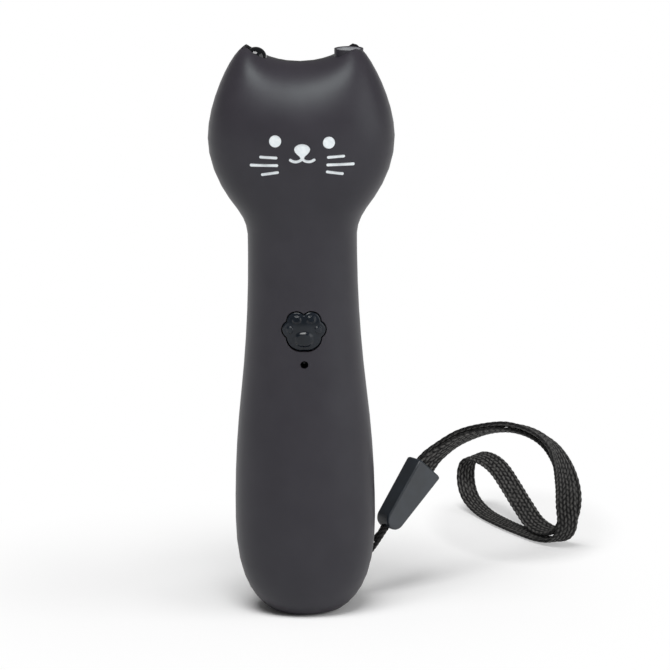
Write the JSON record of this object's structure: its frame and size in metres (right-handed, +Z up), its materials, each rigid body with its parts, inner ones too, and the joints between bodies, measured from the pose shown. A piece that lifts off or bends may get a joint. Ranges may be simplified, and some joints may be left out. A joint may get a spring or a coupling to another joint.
{
  "type": "cat laser pointer",
  "caption": "Hand-held pet laser pointer shaped as a standing cat, with a paw push button, a laser and a lamp in the ears, a rear charge socket and a braided wrist strap.",
  "frame": {"origin": "centre of the flat base, on the surface it stands on", "axes": "+Z up to the ears, -Y towards the viewer of the face, +X to the right in the picture, towards the laser's ear"},
  "size_m": [0.0861, 0.1062, 0.1291],
  "materials": {
    "case_black": "matte",
    "case_rear": "matte",
    "white_enamel": "satin",
    "button_black": "gloss",
    "screw_steel": "satin",
    "switch_black": "matte",
    "switch_cream": "matte",
    "board_green": "satin",
    "chip_black": "matte",
    "chip_parts": "satin",
    "led_clear": "gloss",
    "socket_steel": "satin",
    "cell_wrap": "satin",
    "tab_nickel": "satin",
    "foam_grey": "matte",
    "lead_red": "satin",
    "lead_yellow": "satin",
    "cap_black": "satin",
    "window_grey": "gloss",
    "barrel_brass": "satin",
    "lens_clear": "gloss",
    "diode_metal": "satin",
    "lamp_smoke": "gloss",
    "clip_black": "satin",
    "tape_black": "matte",
    "cord_black": "matte"
  },
  "bodies": {
    "case": {"front_shell": "case_black", "rear_shell": "case_rear", "face_enamel": "white_enamel", "case_screws": "screw_steel", "switch_body": "switch_black", "main_board": "board_green", "control_chip": "chip_black", "board_parts": "chip_parts", "indicator_led": "led_clear", "charge_board": "board_green", "charge_socket": "socket_steel", "socket_tongue": "chip_black", "charger_chip": "chip_black", "battery_cell": "cell_wrap", "battery_tabs": "tab_nickel", "battery_pad": "foam_grey", "battery_leads": "lead_red", "charge_leads": "lead_yellow", "laser_cap": "cap_black", "laser_window": "window_grey", "laser_barrel": "barrel_brass", "laser_lens": "lens_clear", "laser_nut": "barrel_brass", "laser_diode": "diode_metal", "laser_board": "board_green", "laser_leads": "lead_red", "lamp_led": "lamp_smoke", "lamp_board": "board_green", "lamp_leads": "lead_red", "strap_clip": "clip_black", "strap_tape": "tape_black", "strap_cord": "cord_black"},
    "button": {"paw_button": "button_black", "switch_plunger": "switch_cream"}
  },
  "joints": [
    {"name": "button_press", "type": "slide", "parent": "case", "child": "button", "axis": [0, 1, 0], "range_m": [0, 0.0006], "stiffness_N_per_m": 2500}
  ]
}
